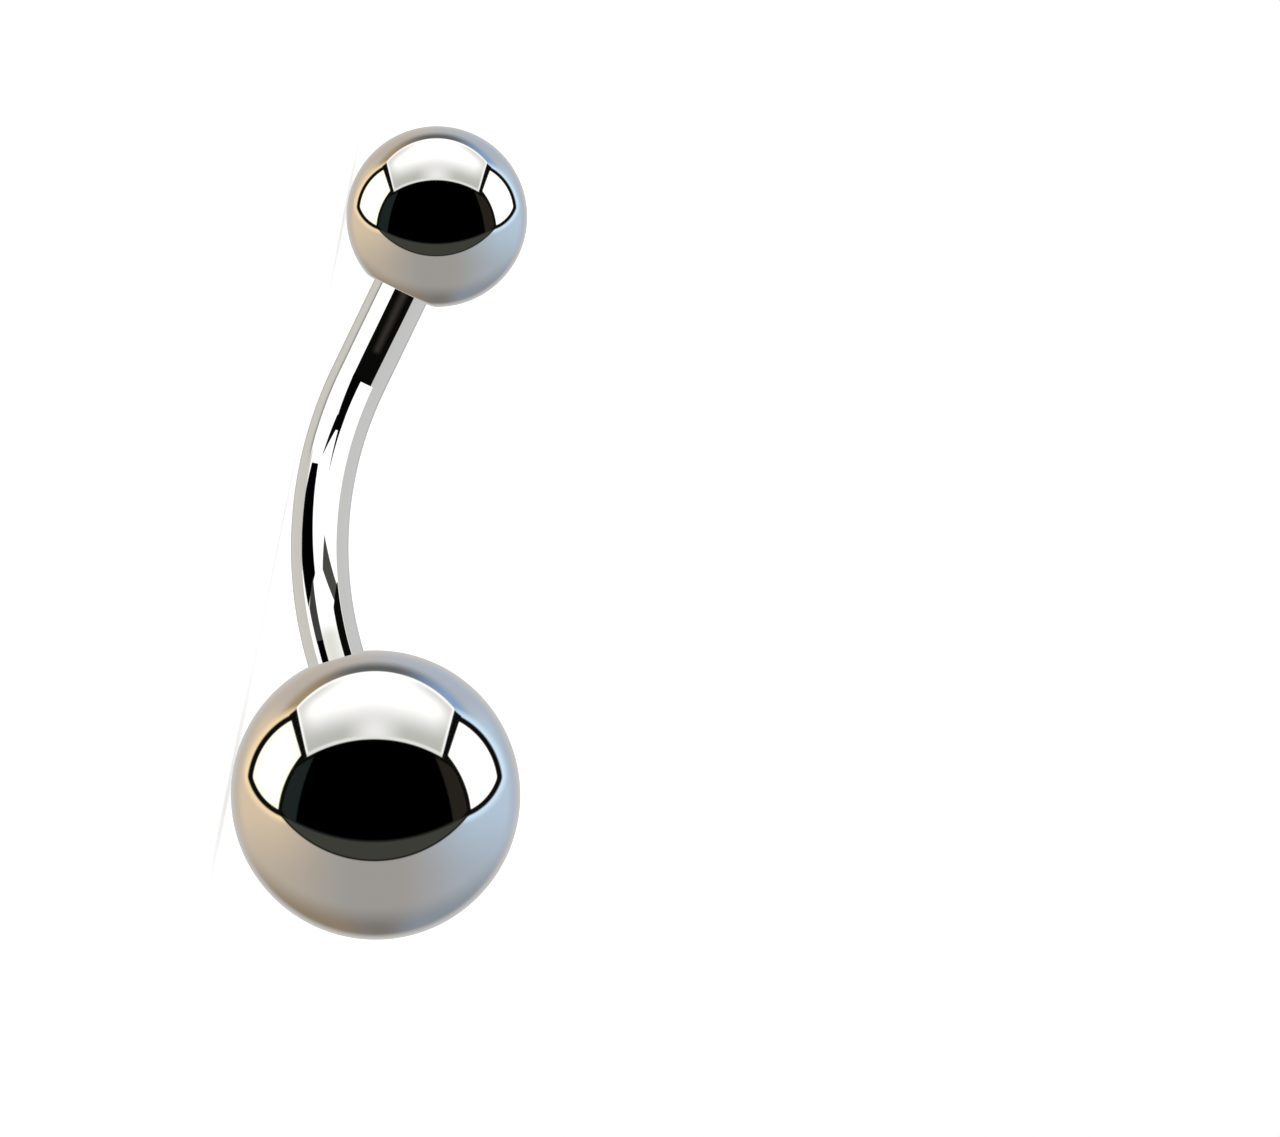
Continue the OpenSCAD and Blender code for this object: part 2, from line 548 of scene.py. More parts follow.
@dataclass
class CurvedBar:
    """The bent bar: its bend, its post in the lower ball, its bevelled end and its stud."""

    sizes: RingSizes
    place: RestPlace
    thread: ThreadForm
    segments: int = 128
    bend_steps: int = 84
    row_mm: float = 0.0125
    dome_step: float = 4.0
    edge_mm: float = 0.02
    neck_cone_mm: float = 0.03
    core_share: float = 1 / 8
    sharper_than: float = 25.0
    finishes: dict[Zone, SteelFinish] = field(
        default_factory=lambda: {Zone.POLISHED: TUMBLED_BAR, Zone.TURNED: TURNED_STEEL}
    )

    def build(self) -> bpy.types.Object:
        """Builds and dresses the bar.

        Returns:
            The finished piece.
        """
        bm = self.bent_length()
        upper = (self.upper_length(), self.place.upper_end())
        lower = (self.post(), self.place.lower_end())
        for part, matrix in (upper, lower):
            bmesh.ops.transform(part, matrix=matrix, verts=part.verts)
            join(bm, part)
        bmesh.ops.remove_doubles(bm, verts=bm.verts, dist=JOIN_M)
        return Piece("curved_bar", Body.RING, Slot.BAR, "bar", self.finishes).finish(bm)

    def bent_length(self) -> bmesh.types.BMesh:
        """The bend: the bar's outline spun about the middle of the bend's circle.

        Returns:
            The shape, in the frame.
        """
        bm = bmesh.new()
        shift = Matrix.Translation((self.sizes.bend_r, 0, 0))
        ring = bmesh.ops.create_circle(
            bm,
            cap_ends=False,
            radius=self.sizes.bar_r,
            segments=self.segments,
            matrix=shift @ Matrix.Rotation(math.pi / 2, 4, "X"),
        )
        bmesh.ops.spin(
            bm,
            geom=ring["verts"] + list(bm.edges),
            cent=(0, 0, 0),
            axis=(0, 0, 1),
            dvec=(0, 0, 0),
            angle=math.radians(self.sizes.bend_angle),
            steps=self.bend_steps,
            use_merge=False,
            use_duplicate=False,
        )
        bmesh.ops.transform(bm, matrix=self.place.bend(), verts=bm.verts)
        return bm

    def post(self) -> bmesh.types.BMesh:
        """The plain post that the lower ball hides."""
        s = self.sizes
        return lathe([(s.bar_r, 0.0), (s.bar_r, s.post_l), (0.0, s.post_l)], self.segments)

    def upper_length(self) -> bmesh.types.BMesh:
        """The straight end with its bevel and the threaded, domed stud on its end face.

        Returns:
            The shape, up +Z from the bend's upper end.
        """
        s, t = self.sizes, self.thread
        face = s.straight_l
        core_r = t.root_r - self.core_share * t.pitch
        dome_z = face + s.stud_l - s.dome_r
        thread_end = dome_z + math.sqrt(s.dome_r**2 - t.root_r**2)
        rim = math.degrees(math.asin((thread_end - dome_z) / s.dome_r))
        outline = [
            (s.bar_r, 0.0),
            (s.bar_r, face - s.end_bevel),
            (s.bar_r - s.end_bevel, face),
            (core_r, face),
            (core_r, face + s.neck_l),
            *rows(t.root_r, face + s.neck_l + self.neck_cone_mm, thread_end, self.row_mm),
            *arc((0.0, dome_z), s.dome_r, rim, 90.0, self.dome_step)[1:],
        ]
        bm = lathe(outline, self.segments)
        below_thread = [e for e in bm.edges if max(v.co.z for v in e.verts) < face + s.neck_l / 2]
        soften_these(bm, below_thread, self.sharper_than, self.edge_mm)
        self.cut_thread(bm, face, thread_end, dome_z)
        # Openness paints shade into the turned steel: darkest at the neck and the groove roots, none
        # on the dome
        layer = bm.verts.layers.float.new(OPENNESS)
        for v in bm.verts:
            depth = (math.hypot(v.co.x, v.co.y) - core_r) / (t.outer_d / 2 - core_r)
            v[layer] = 1.0 if v.co.z > thread_end else min(max(depth, 0.0), 1.0)
        for f in bm.faces:
            cut = f.calc_center_median().z > face + MERGE_MM
            f.material_index = (Zone.TURNED if cut else Zone.POLISHED).value
        return bm

    def cut_thread(self, bm: bmesh.types.BMesh, face: float, end: float, dome_z: float) -> None:
        """Raises the thread on the stud's plain length.

        Args:
            bm: The upper length.
            face: Height of the bar's end face.
            end: Height at which the plain length runs into the dome.
            dome_z: Height of the dome's middle.
        """
        s, t = self.sizes, self.thread
        start = face + s.neck_l + t.lead_in
        last = (end - start - t.pitch) / t.pitch
        for v in bm.verts:
            radius = math.hypot(v.co.x, v.co.y)
            if v.co.z <= face + s.neck_l or v.co.z >= end or abs(radius - t.root_r) > MERGE_MM:
                continue
            up = t.rise(math.atan2(v.co.y, v.co.x), v.co.z - start, 0.0, 0.0, last)
            if v.co.z > dome_z:
                up = min(up, max(math.sqrt(s.dome_r**2 - (v.co.z - dome_z) ** 2) - t.root_r, 0.0))
            v.co.xy = v.co.xy * ((radius + up) / radius)


def soften_these(
    bm: bmesh.types.BMesh, edges: list[bmesh.types.BMEdge], sharper_than: float, width: float
) -> None:
    """Rounds those of some edges that are sharp.

    Args:
        bm: The shape.
        edges: The edges that may be rounded.
        sharper_than: Least angle between two faces, in degrees, at an edge that is rounded.
        width: How far the rounding reaches to each side.
    """
    limit = math.radians(sharper_than)
    sharp = [e for e in edges if len(e.link_faces) == 2 and e.calc_face_angle() > limit]
    bmesh.ops.bevel(
        bm,
        geom=sharp,
        offset=width,
        affect="EDGES",
        segments=EDGE_STEPS,
        profile=0.5,
        material=-1,
        clamp_overlap=True,
    )


def join(target: bmesh.types.BMesh, other: bmesh.types.BMesh) -> None:
    """Adds one shape to another.

    Args:
        target: The shape that grows.
        other: The shape that is added. It is freed.
    """
    carrier = bpy.data.meshes.new("carrier")
    other.to_mesh(carrier)
    other.free()
    target.from_mesh(carrier)
    bpy.data.meshes.remove(carrier)


@dataclass
class LowerBall:
    """The fixed ball, with the blind hole that the post sits in."""

    sizes: RingSizes
    place: RestPlace
    segments: int = 160
    step: float = 1.5
    edge_mm: float = 0.02
    sharper_than: float = 25.0

    def build(self) -> bpy.types.Object:
        """Builds and dresses the lower ball.

        Returns:
            The finished piece.
        """
        s = self.sizes
        hole_r = s.bar_r + s.post_gap
        rim = -math.degrees(math.acos(hole_r / s.bottom_ball_r))
        outline = [
            *arc((0.0, s.bottom_ball_r), s.bottom_ball_r, 90.0, rim, self.step),
            (hole_r, s.post_l + s.post_gap),
            (0.0, s.post_l + s.post_gap),
        ]
        bm = lathe(outline, self.segments)
        soften_these(bm, list(bm.edges), self.sharper_than, self.edge_mm)
        bmesh.ops.transform(bm, matrix=self.place.lower_end(), verts=bm.verts)
        finishes = {Zone.POLISHED: BUFFED_BALL}
        return Piece("lower_ball", Body.RING, Slot.BALL, "bottom_ball", finishes).finish(bm)


@dataclass
class UpperBall:
    """The ball that screws off, with its countersink and its threaded hole."""

    sizes: RingSizes
    place: RestPlace
    thread: ThreadForm
    segments: int = 160
    step: float = 1.5
    row_mm: float = 0.0125
    edge_mm: float = 0.03
    sharper_than: float = 25.0
    deep_shade: float = 0.7
    core_share: float = 1 / 8

    @property
    def hole_r(self) -> float:
        """Radius of the hole inside the crests of its thread."""
        return self.thread.outer_d / 2 + self.sizes.thread_gap

    def build(self) -> bpy.types.Object:
        """Builds and dresses the upper ball.

        Returns:
            The finished piece.
        """
        s, t = self.sizes, self.thread
        pilot_r = self.hole_r - self.core_share * t.pitch
        pilot_end = s.stud_l + s.hole_spare
        hole_z = s.seat_r - self.hole_r
        rim = -math.degrees(math.acos(s.mouth_r / s.top_ball_r))
        bore_end = s.seat_r - s.bore_r
        outline = [
            *arc((0.0, s.top_ball_z), s.top_ball_r, 90.0, rim, self.step),
            (s.bore_r, s.lip_z),
            (s.bore_r, bore_end),
            *rows(self.hole_r, hole_z, s.stud_l, self.row_mm),
            (pilot_r, s.stud_l),
            (pilot_r, pilot_end),
            (0.0, pilot_end + pilot_r / math.tan(math.radians(s.drill_point / 2))),
        ]
        bm = lathe(outline, self.segments)
        at_mouth = [e for e in bm.edges if max(v.co.z for v in e.verts) < bore_end + MERGE_MM]
        soften_these(bm, at_mouth, self.sharper_than, self.edge_mm)
        self.cut_thread(bm, hole_z)
        # Openness paints shade into the turned steel: darker in the thread's grooves, and darker
        # still deeper down the hole
        layer = bm.verts.layers.float.new(OPENNESS)
        for v in bm.verts:
            groove = (math.hypot(v.co.x, v.co.y) - self.hole_r) / t.height
            depth = min(max((v.co.z - hole_z) / (pilot_end - hole_z), 0.0), 1.0)
            v[layer] = (1.0 - min(max(groove, 0.0), 1.0)) * (1.0 - self.deep_shade * depth)
        for f in bm.faces:
            middle = f.calc_center_median()
            near_axis = math.hypot(middle.x, middle.y) < s.mouth_r
            drilled = near_axis and hole_z < middle.z < pilot_end + pilot_r
            f.material_index = (Zone.TURNED if drilled else Zone.POLISHED).value
        bmesh.ops.transform(bm, matrix=self.place.end_face(), verts=bm.verts)
        finishes = {Zone.POLISHED: BUFFED_BALL, Zone.TURNED: TURNED_STEEL}
        return Piece("upper_ball", Body.UPPER_BALL, Slot.BALL, "top_ball", finishes).finish(bm)

    def cut_thread(self, bm: bmesh.types.BMesh, hole_z: float) -> None:
        """Cuts the thread into the wall of the hole.

        Args:
            bm: The ball, up +Z from the bar's end face.
            hole_z: Height at which the countersink runs into the hole.
        """
        s, t = self.sizes, self.thread
        start = s.neck_l + t.lead_in
        first = -start / t.pitch
        last = (s.stud_l - start - t.pitch) / t.pitch
        for v in bm.verts:
            radius = math.hypot(v.co.x, v.co.y)
            between = hole_z + MERGE_MM < v.co.z < s.stud_l - MERGE_MM
            if not between or abs(radius - self.hole_r) > MERGE_MM:
                continue
            out = t.rise(math.atan2(v.co.y, v.co.x), v.co.z - start, s.thread_gap, first, last)
            v.co.xy = v.co.xy * ((radius + out) / radius)


@dataclass(frozen=True)
class Edge:
    """A round edge of a lit shape: what lies inside the circle is kept, or what lies outside it."""

    x: float
    y: float
    r: float
    inside: bool = True


@dataclass(frozen=True)
class Line:
    """A straight edge of a lit shape: what lies to the left of the way from a to b is kept."""

    a: Point
    b: Point


Shape = tuple[Edge | Line, ...]


def polygon(*corners: Point) -> Shape:
    """A convex shape with straight edges, from its corners taken anticlockwise."""
    return tuple(Line(a, b) for a, b in zip(corners, (*corners[1:], corners[0])))


def light(hex_colour: str, strength: float = 1.0) -> tuple[float, float, float, float]:
    """The light that the steel mirrors as a colour, or as one brighter by a strength."""
    return (*(c * strength / STEEL_SHARE for c in linear(hex_colour)), 1.0)


@dataclass
class LightMap:
    """Draws soft-edged shapes in a plane of the lighting."""

    tree: Tree
    place: Socket

    def put(self, kind: str, *inputs: Any, **settings: Any) -> Socket:
        """The first output of a node of any kind, whose first inputs are linked or set."""
        return add_node(self.tree, kind, dict(enumerate(inputs)), **settings).outputs[0]

    def both(self, one: Any, other: Any) -> Socket:
        """What two masks cover together, or a measure made larger by a number."""
        return self.put(MATHS, one, other, operation="MULTIPLY")

    def dot(self, vector: Socket, way: Vector) -> Socket:
        """How far a vector reaches along a way.

        Args:
            vector: The vector.
            way: The way, the same for all places.

        Returns:
            Their dot product.
        """
        return add_node(
            self.tree, "ShaderNodeVectorMath", {0: vector, 1: way}, operation="DOT_PRODUCT"
        ).outputs["Value"]

    def ramp(self, value: Any, low: float, high: float) -> Socket:
        """How far a value has gone from low, where it is 0, to high, where it is 1."""
        return self.put("ShaderNodeMapRange", value, low, high, interpolation_type="SMOOTHSTEP")

    def mask(self, shape: Shape, soft: float, grow: float = 0.0) -> Socket:
        """How much of a shape covers a place.

        Args:
            shape: The shape's edges.
            soft: Half the width of its soft edge.
            grow: How far the shape is grown on all sides.

        Returns:
            A socket that is 1 inside the shape and 0 outside it.
        """
        result = None
        for edge in shape:
            if isinstance(edge, Edge):
                sign = 1 if edge.inside else -1
                ends = {0: self.place, 1: (edge.x, edge.y, 0)}
                measure = add_node(
                    self.tree, "ShaderNodeVectorMath", ends, operation="DISTANCE"
                ).outputs["Value"]
                limit = edge.r + sign * grow
                part = self.ramp(measure, limit + sign * soft, limit - sign * soft)
            else:
                way = Vector((edge.b[0] - edge.a[0], edge.b[1] - edge.a[1], 0)).normalized()
                left = Vector((-way.y, way.x, 0))
                measure = self.dot(self.place, left)
                limit = left.dot(Vector((*edge.a, 0))) - grow
                part = self.ramp(measure, limit - soft, limit + soft)
            result = part if result is None else self.both(result, part)
        return result

    def paint(self, under: Any, over: Any, mask: Any) -> Socket:
        """Lays one colour over another.

        Args:
            under: Colour or socket below.
            over: Colour or socket above.
            mask: How much of the upper one shows.

        Returns:
            The mixed colour.
        """
        mixed = add_node(self.tree, "ShaderNodeMix", {0: mask, 6: under, 7: over}, data_type="RGBA")
        return mixed.outputs[2]


# Share of the light that the polished steel throws back
STEEL_SHARE = 0.77
# Keeps the mirror ball's scale above 0 for the way straight behind it
SCALE_FLOOR = 0.0001

# The studio's panels, as a mirror ball of radius 1 shows their right half in the photo's view
TOP_PANEL: Shape = (
    Edge(0.0, 0.144, 0.712),
    Edge(0.0, -0.529, 0.921, inside=False),
    Line((0.465, 0.27), (0.548, 0.598)),
)
SIDE_PANEL: Shape = (
    Edge(0.325, 0.056, 0.52),
    Edge(0.501, 0.223, 0.357),
    Edge(-0.038, -0.17, 0.705, inside=False),
    Line((0.588, 0.526), (0.516, 0.304)),
)
FRONT: Shape = (
    Edge(0.0, 0.382, 0.831),
    Edge(-0.038, -0.17, 0.705),
    Edge(0.0, -0.529, 0.925),
)
FRONT_FOOT: Shape = (
    Edge(0.0, 0.382, 0.831),
    Edge(-0.038, -0.17, 0.705),
    Edge(0.0, 0.897, 1.203, inside=False),
)
FRONT_CORE: Shape = (
    Edge(0.0, 0.897, 1.203),
    Edge(-0.967, -0.354, 1.518),
    Edge(0.0, -0.529, 0.925),
)

WEDGE: Shape = polygon((0.462, 0.262), (0.515, 0.3), (0.597, 0.548), (0.545, 0.592))

# Parts of the backdrop behind the panels, and of the overhead panel's own light
RIM: Shape = (Edge(0.0, 0.0, 0.935, inside=False),)
OUTER_RIM: Shape = (Edge(0.0, 0.0, 0.972, inside=False), Line((1.0, -0.3), (-1.0, -0.3)))
BELOW: Shape = (Edge(0.0, 0.35, 1.19, inside=False),)
BAND_OVER_PANEL: Shape = (Edge(0.0, 0.144, 0.765), Line((-1.0, 0.5), (1.0, 0.5)))
PANEL_TOP: Shape = (Edge(0.0, 0.144, 0.655, inside=False),)
PANEL_CORNER: Shape = (Line((0.5, 0.6), (0.4, 0.27)),)
PANEL_FOLDS: Shape = (Edge(0.0, -0.529, 1.1),)
PANEL_SHEEN: Shape = (Edge(0.0, -0.529, 0.943),)

# Spans of the mirror ball over which one part of the studio turns into the next
SHARP_MIDDLE: Point = (-0.05, 0.05)
LEFT_TO_RIGHT: Point = (-0.45, 0.45)
LOW_TO_HIGH: Point = (-0.6, -0.05)
MIDDLE_TO_SIDE: Point = (0.1, 0.75)
HIGH_TO_TOP: Point = (0.45, 0.7)
RIM_FADE: Point = (-0.75, -0.35)
FOOT_WARM_TO_COOL: Point = (-0.25, 0.2)
FOOT_SHADE: Point = (0.0, 0.3)
BAND_MIDDLE: Point = (0.55, 0.1)
PANEL_TOP_SIDES: Point = (0.08, 0.42)
PANEL_FOLD_MIDDLE: Point = (0.24, 0.0)
FAR_END: Point = (-0.8, -1.0)


@dataclass(frozen=True)
class Gap:
    """A dark or grey gap in the bar's own light.

    Its corners are in mm on the bar unrolled: across it, and up it from where it stands
    upright in the photo's view.
    """

    colour: str
    shape: Shape
    soft: float = 0.008


GAPS: tuple[Gap, ...] = (
    Gap("C8C6C0", polygon((-0.5, 2.4), (-0.8, 3.6), (-0.8, -8.0), (-0.49, -8.0)), 0.02),
    Gap("C4C4C4", polygon((0.47, 12.0), (0.47, -8.0), (0.8, -8.0), (0.8, 12.0)), 0.012),
    Gap("C4C4C4", polygon((0.38, 12.0), (0.38, 4.78), (0.8, 4.78), (0.8, 12.0))),
    Gap("E2E2DC", polygon((-0.3, -2.2), (-0.3, -8.0), (0.3, -8.0), (0.3, -2.2)), 0.3),
    Gap("0A0A09", polygon((-0.16, 12.0), (-0.16, 4.78), (0.4, 4.78), (0.46, 12.0))),
    Gap("332F2A", polygon((0.0, 12.0), (0.06, 5.7), (0.2, 5.7), (0.26, 12.0)), 0.09),
    Gap("050505", polygon((-0.16, 4.9), (-0.11, 3.29), (0.08, 3.29), (0.11, 4.9))),
    Gap("050505", polygon((-0.14, 3.7), (-0.22, 2.48), (-0.02, 3.4), (-0.02, 3.7))),
    Gap("050505", polygon((0.0, 3.7), (0.064, 2.05), (0.09, 3.7))),
    Gap(
        "020202",
        polygon(
            (-0.456, 2.28), (-0.52, 0.9), (-0.52, 0.2), (-0.42, -1.6), (-0.13, -0.7), (-0.272, 2.28)
        ),
    ),
    Gap("3E3E3C", polygon((-0.2, -0.8), (-0.4, -1.6), (-0.38, -2.6), (-0.19, -2.6))),
    Gap("020202", polygon((-0.376, -2.52), (-0.376, -6.0), (-0.19, -6.0), (-0.19, -2.52))),
    Gap("484846", polygon((0.14, 0.37), (0.08, -0.6), (0.36, -1.7), (0.44, -1.1))),
    Gap("0A0A09", polygon((0.44, -1.0), (0.26, -1.7), (0.26, -6.0), (0.46, -6.0), (0.46, -1.0))),
)

BLACK = (0.0, 0.0, 0.0, 1.0)


@dataclass
class BallView:
    """Where each direction shows on a mirror ball of radius 1 in the photo's view.

    folded is x with the left half laid over the right one, facing is 1 back to the camera
    and -1 away from it, and aside is 1 towards the walls of light at the image's left and right.
    """

    spot: LightMap
    x: Socket
    y: Socket
    folded: Socket
    facing: Socket
    aside: Socket


@dataclass
class Studio:
    """The surroundings: soft panels overhead and at both sides, a dark front, and a pale floor.

    The photo's right and up ways lie in the plane of the bend.
    """

    sizes: RingSizes
    place: RestPlace
    lens_mm: float = 400.0
    sensor_mm: float = 36.0
    image: Point = (1280.0, 1137.0)
    px_per_mm: float = 36.2
    lower_ball_px: Point = (375.6, 795.0)
    upper_ball_px: Point = (436.8, 216.8)
    clip_shares: Point = (0.1, 30.0)
    floor_m: float = 6.0
    floor_colour: str = "F4F4F4"
    floor_roughness: float = 0.9
    floor_glow: float = 0.55
    overhead_strength: float = 2.0
    overhead_angle: float = 120.0
    panel_strength: float = 1.15
    side_strength: float = 1.3
    outer_rim_share: float = 0.7
    panel_edge: float = 0.006
    wall_off_m: float = 100.0
    wall_reach: Point = (0.5, 0.62)
    strip_mm: Point = (10.0, 18.0)
    strip_off_mm: float = 0.9
    strip_edge: Point = (0.605, 0.617)
    strip_strength: float = 1.15
    strip_steps: int = 32
    wall_turn: float = 0.2
    wall_edges: tuple[Point, Point] = ((0.7, 0.77), (0.67, 0.69))

    def ways(self) -> tuple[Vector, Vector, Vector]:
        """The image's right and up and the way back to the camera, in the frame.

        Returns:
            Three unit vectors.
        """
        low = self.place.bend() @ self.place.bottom_centre
        line = (self.place.bend() @ self.place.top_centre - low).normalized()
        lean = math.atan2(
            self.upper_ball_px[0] - self.lower_ball_px[0],
            self.lower_ball_px[1] - self.upper_ball_px[1],
        )
        back = Vector((0, -1, 0))
        up = Matrix.Rotation(lean, 3, back) @ line
        return up.cross(back), up, back

    def turned(self, at: Vector) -> Matrix:
        """Places a camera or a light at a point, square to the plane of the bend."""
        return Matrix.Translation(at) @ Matrix(self.ways()).transposed().to_4x4()

    def camera(self) -> bpy.types.Object:
        """Adds the camera, square to the plane of the bend and above the floor.

        Returns:
            The camera, which becomes the scene's.
        """
        right, up, back = self.ways()
        low = self.place.bend() @ self.place.bottom_centre
        off_x = (self.image[0] / 2 - self.lower_ball_px[0]) / self.px_per_mm * MM
        off_y = (self.lower_ball_px[1] - self.image[1] / 2) / self.px_per_mm * MM
        distance = self.image[0] / self.px_per_mm * self.lens_mm / self.sensor_mm * MM
        data = bpy.data.cameras.new("camera")
        data.lens = self.lens_mm
        data.sensor_width = self.sensor_mm
        data.clip_start, data.clip_end = (distance * share for share in self.clip_shares)
        made = bpy.data.objects.new("camera", data)
        made.matrix_world = self.turned(low + right * off_x + up * off_y + back * distance)
        bpy.context.scene.collection.objects.link(made)
        bpy.context.scene.camera = made
        height = made.matrix_world.translation.z
        LOG.info("camera: %.1f mm above the floor, %.0f mm away", height / MM, distance / MM)
        return made

    def floor(self) -> bpy.types.Object:
        """Adds the floor, a white light table that the polished steel doesn't mirror.

        Returns:
            The floor.
        """
        bm = bmesh.new()
        bmesh.ops.create_grid(bm, x_segments=1, y_segments=1, size=self.floor_m / 2)
        mesh = bpy.data.meshes.new("floor")
        bm.to_mesh(mesh)
        bm.free()
        made = bpy.data.objects.new("floor", mesh)
        bpy.context.scene.collection.objects.link(made)
        table = bpy.data.materials.new("white_light_table")
        table.use_nodes = True
        surface = table.node_tree.nodes["Principled BSDF"]
        surface.inputs["Base Color"].default_value = (*linear(self.floor_colour), 1.0)
        surface.inputs["Roughness"].default_value = self.floor_roughness
        surface.inputs["Emission Color"].default_value = (1.0, 1.0, 1.0, 1.0)
        surface.inputs["Emission Strength"].default_value = self.floor_glow
        mesh.materials.append(table)
        # The wall of light at the image's left lies below the floor and shines through it
        made.visible_glossy = False
        made.visible_shadow = False
        return made

    def overhead(self) -> bpy.types.Object:
        """Adds the wide soft light over the floor, with no mirror image of its own.

        Returns:
            The light.
        """
        data = bpy.data.lights.new("overhead", "SUN")
        data.energy = self.overhead_strength
        data.angle = math.radians(self.overhead_angle)
        made = bpy.data.objects.new("overhead", data)
        made.visible_glossy = False
        bpy.context.scene.collection.objects.link(made)
        return made

    def drawn_light(
        self,
        name: str,
        size: Point,
        matrix: Matrix,
        pieces: Sequence[bpy.types.Object],
        draw: Callable[[Tree, Socket], Socket],
    ) -> bpy.types.Object:
        """Adds a flat light with a drawing on it, which only some pieces mirror.

        Args:
            name: The light's name.
            size: Its width and height in metres.
            matrix: Its place, where it shines along its own -Z.
            pieces: The pieces that mirror it.
            draw: Gives the colour from the light's tree and the place on the light.

        Returns:
            The light.
        """
        data = bpy.data.lights.new(name, "AREA")
        data.shape = "RECTANGLE"
        data.size, data.size_y = size
        data.energy = math.pi * data.size * data.size_y
        data.use_nodes = True
        tree = data.node_tree
        tree.nodes.clear()
        at = add_node(tree, "ShaderNodeNewGeometry", {}).outputs["Position"]
        lit = add_node(tree, "ShaderNodeEmission", {"Color": draw(tree, at)})
        add_node(tree, "ShaderNodeOutputLight", {0: lit.outputs[0]})
        made = bpy.data.objects.new(name, data)
        made.matrix_world = matrix
        made.visible_camera = False
        only = bpy.data.collections.new(f"{name}_pieces")
        for piece in pieces:
            only.objects.link(piece)
        made.light_linking.receiver_collection = only
        bpy.context.scene.collection.objects.link(made)
        return made

    def strip_place(self, share: float) -> float:
        """Finds what place on the strip of light the bar mirrors.

        Args:
            share: Place across the bar, 0 in its middle and 1 at its edge.

        Returns:
            How far aside of the bar's middle that place lies, in mm.
        """
        lean = math.asin(share)
        gap = self.strip_off_mm - self.sizes.bar_r * math.cos(lean)
        return self.sizes.bar_r * share + gap * math.tan(2 * lean)

    def draw_strip(self, tree: Tree, at: Socket) -> Socket:
        """Draws the strip of light that lies along the bar's front, with its dark gaps.

        Args:
            tree: The light's tree.
            at: The place on the light, which turns into a place on the unrolled bar.

        Returns:
            The colour.
        """
        s = self.sizes
        bend = self.place.bend()
        axes = bend.to_3x3().normalized()
        out, onward = axes.col[0], -axes.col[1]
        start = s.bend_r * out.angle(-self.ways()[0])
        spot = LightMap(tree, at)
        from_middle = spot.put("ShaderNodeVectorMath", at, bend @ Vector(), operation="SUBTRACT")
        x, y = (spot.dot(from_middle, way / MM) for way in (out, onward))
        bent = spot.put(MATHS, y, 0.0, operation="MINIMUM")
        turn = spot.put(MATHS, spot.put(MATHS, bent, x, operation="DIVIDE"), operation="ARCTANGENT")
        squares = spot.put(MATHS, spot.both(x, x), spot.both(bent, bent), operation="ADD")
        length = spot.put(MATHS, squares, operation="SQRT")
        inward = spot.put(MATHS, s.bend_r, length, operation="SUBTRACT")
        edge = self.strip_edge[1]
        reach = self.strip_place(edge)
        off_middle = spot.put(MATHS, inward, operation="ABSOLUTE")
        off_share = spot.put(MATHS, off_middle, reach, operation="DIVIDE")
        curve = add_node(tree, "ShaderNodeFloatCurve", {"Value": off_share})
        points = curve.mapping.curves[0].points
        for k in range(1, self.strip_steps):
            share = edge * k / self.strip_steps
            point = points.new(self.strip_place(share) / reach, share / edge)
            point.handle_type = "VECTOR"
        curve.mapping.update()
        share = spot.both(curve.outputs[0], edge)
        sign = spot.put(MATHS, inward, operation="SIGN")
        across = spot.both(spot.both(share, sign), s.bar_r)
        beyond = spot.put(MATHS, y, 0.0, operation="MAXIMUM")
        straight = spot.put(MATHS, beyond, start, operation="ADD")
        along = spot.put(MATHS, straight, spot.both(turn, s.bend_r), operation="ADD")
        spot.place = spot.put("ShaderNodeCombineXYZ", across, along)
        colour = light("FFFFFF", self.strip_strength)
        for gap in GAPS:
            colour = spot.paint(colour, light(gap.colour), spot.mask(gap.shape, gap.soft))
        return spot.paint(BLACK, colour, spot.ramp(share, edge, self.strip_edge[0]))

    def strip(self, bar: bpy.types.Object) -> bpy.types.Object:
        """Adds the strip of light along the bar's front, which the bar alone mirrors.

        Args:
            bar: The bar.

        Returns:
            The light.
        """
        bend = self.place.bend()
        middle = bend @ ((self.place.bottom_centre + self.place.top_centre) / 2)
        at = self.turned(middle + self.ways()[2] * self.strip_off_mm * MM)
        size = (self.strip_mm[0] * MM, self.strip_mm[1] * MM)
        return self.drawn_light("bar_strip", size, at, [bar], self.draw_strip)

    def ball_view(self, tree: Tree, direction: Socket) -> BallView:
        """Finds where a direction shows on a mirror ball.

        Args:
            tree: The tree of the world or of a light.
            direction: The direction, as a unit vector.

        Returns:
            The places, with the left half of the ball laid over its right half for shapes.
        """
        spot = LightMap(tree, direction)
        across, along, facing = (spot.dot(direction, way) for way in self.ways())
        ahead = spot.put(MATHS, facing, 1.0 + SCALE_FLOOR, operation="ADD")
        scale = spot.put(MATHS, spot.both(ahead, 2.0), operation="SQRT")
        x, y = (spot.put(MATHS, part, scale, operation="DIVIDE") for part in (across, along))
        folded = spot.put(MATHS, x, operation="ABSOLUTE")
        spot.place = spot.put("ShaderNodeCombineXYZ", folded, y)
        off_middle = spot.put(MATHS, across, operation="ABSOLUTE")
        return BallView(spot, x, y, folded, facing, spot.ramp(off_middle, *self.wall_reach))

    def walls(
        self,
        name: str,
        pieces: Sequence[bpy.types.Object],
        paint: Callable[[BallView], Socket],
    ) -> None:
        """Adds a far wall of light at the image's left and one at its right, for some pieces.

        Args:
            name: The start of their names.
            pieces: The pieces that mirror them.
            paint: Gives their colour.
        """

        def draw(tree: Tree, at: Socket) -> Socket:
            """Paints the wall by the direction in which it lies from the ring.

            Args:
                tree: The wall's tree.
                at: The place on the wall.

            Returns:
                The colour.
            """
            direction = add_node(tree, "ShaderNodeVectorMath", {0: at}, operation="NORMALIZE")
            view = self.ball_view(tree, direction.outputs[0])
            return view.spot.paint(BLACK, paint(view), view.aside)

